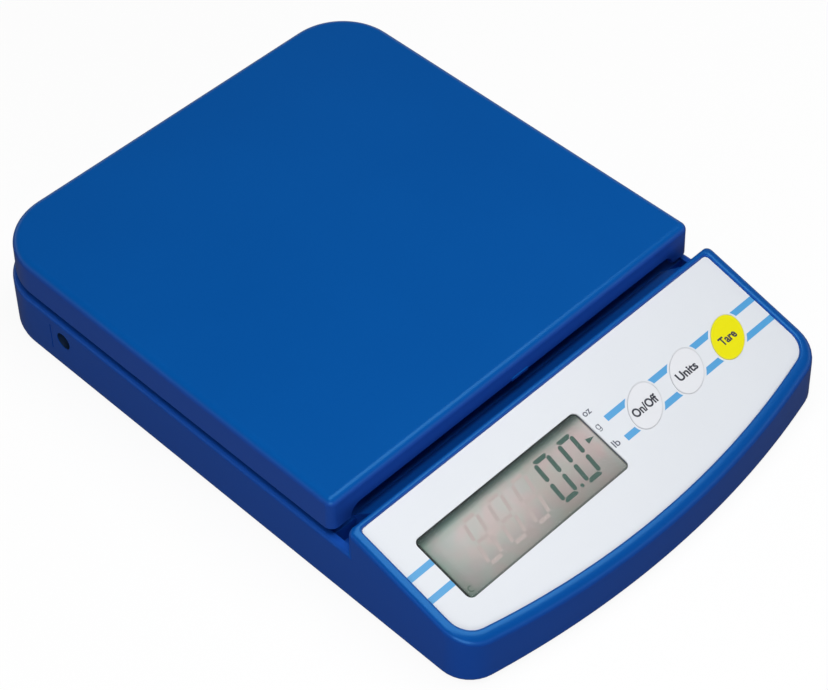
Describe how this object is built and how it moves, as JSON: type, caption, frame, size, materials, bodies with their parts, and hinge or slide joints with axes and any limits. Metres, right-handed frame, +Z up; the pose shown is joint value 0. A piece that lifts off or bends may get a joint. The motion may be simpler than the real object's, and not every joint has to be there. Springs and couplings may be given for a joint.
{
  "type": "compact digital weighing balance",
  "caption": "Low portable weighing balance with a square platform over a housing, and a sloped front console with a display and oval push keys.",
  "frame": {"origin": "centre of the footprint on the table, under the feet", "axes": "+Z up; the console with the display faces -Y; +X is to the right of someone who reads the display"},
  "size_m": [0.151, 0.21, 0.0346],
  "materials": {
    "housing_plastic": "fine satin, moulded blue",
    "cover_plastic": "matte, moulded blue",
    "battery_jacket": "plain shrink jacket",
    "nickel_plate": "bright plated",
    "foot_rubber": "matte black",
    "zinc_screw": "zinc plated",
    "cell_aluminium": "milled",
    "dark_screw": "blackened",
    "gauge_sealant": "soft sealant",
    "platform_plastic": "fine satin, moulded blue",
    "label_film": "satin film, pale grey with blue bands",
    "clear_film": "clear",
    "display_glass": "grey reflective display glass",
    "black_plastic": "matte black",
    "contact_rubber": "striped contact rubber",
    "circuit_board": "green solder mask",
    "socket_plastic": "natural nylon",
    "key_white": "satin white",
    "key_yellow": "satin yellow"
  },
  "bodies": {
    "base": {"housing": "housing_plastic", "bottom_cover": "cover_plastic", "battery_left": "battery_jacket", "battery_middle": "battery_jacket", "battery_right": "battery_jacket", "battery_contacts": "nickel_plate", "feet": "foot_rubber", "housing_screws": "zinc_screw", "weighing_cell": "cell_aluminium", "cell_base_screws": "dark_screw", "strain_gauges": "gauge_sealant", "label": "label_film", "display_window": "clear_film", "display_glass": "display_glass", "display_frame": "black_plastic", "contact_strips": "contact_rubber", "main_board": "circuit_board", "board_chips": "black_plastic", "board_sockets": "socket_plastic", "board_screws": "zinc_screw", "key_switches": "black_plastic", "power_jack": "black_plastic", "jack_centre_pin": "nickel_plate", "jack_board": "circuit_board"},
    "weighing_platform": {"cell_spacer": "cell_aluminium", "cell_top_screws": "dark_screw", "spider": "cell_aluminium", "platform_screws": "zinc_screw", "platform": "platform_plastic"},
    "on_off_key": {"key_on_off": "key_white", "plunger_on_off": "black_plastic"},
    "units_key": {"key_units": "key_white", "plunger_units": "black_plastic"},
    "tare_key": {"key_tare": "key_yellow", "plunger_tare": "black_plastic"},
    "door": {"battery_door": "cover_plastic"}
  },
  "joints": [
    {"name": "platform_load", "type": "slide", "parent": "base", "child": "weighing_platform", "axis": [0, 0, -1], "range_m": [0, 0.0005], "stiffness_N_per_m": 49000, "deforming": ["weighing_cell"]},
    {"name": "on_off_press", "type": "slide", "parent": "base", "child": "on_off_key", "axis": [0, 0.2622, -0.965], "range_m": [0, 0.0003], "stiffness_N_per_m": 1500},
    {"name": "units_press", "type": "slide", "parent": "base", "child": "units_key", "axis": [0, 0.2622, -0.965], "range_m": [0, 0.0003], "stiffness_N_per_m": 1500},
    {"name": "tare_press", "type": "slide", "parent": "base", "child": "tare_key", "axis": [0, 0.2622, -0.965], "range_m": [0, 0.0003], "stiffness_N_per_m": 1500},
    {"name": "battery_door_slide", "type": "slide", "parent": "base", "child": "door", "axis": [0, -1, 0], "range_m": [0, 0.006]}
  ]
}
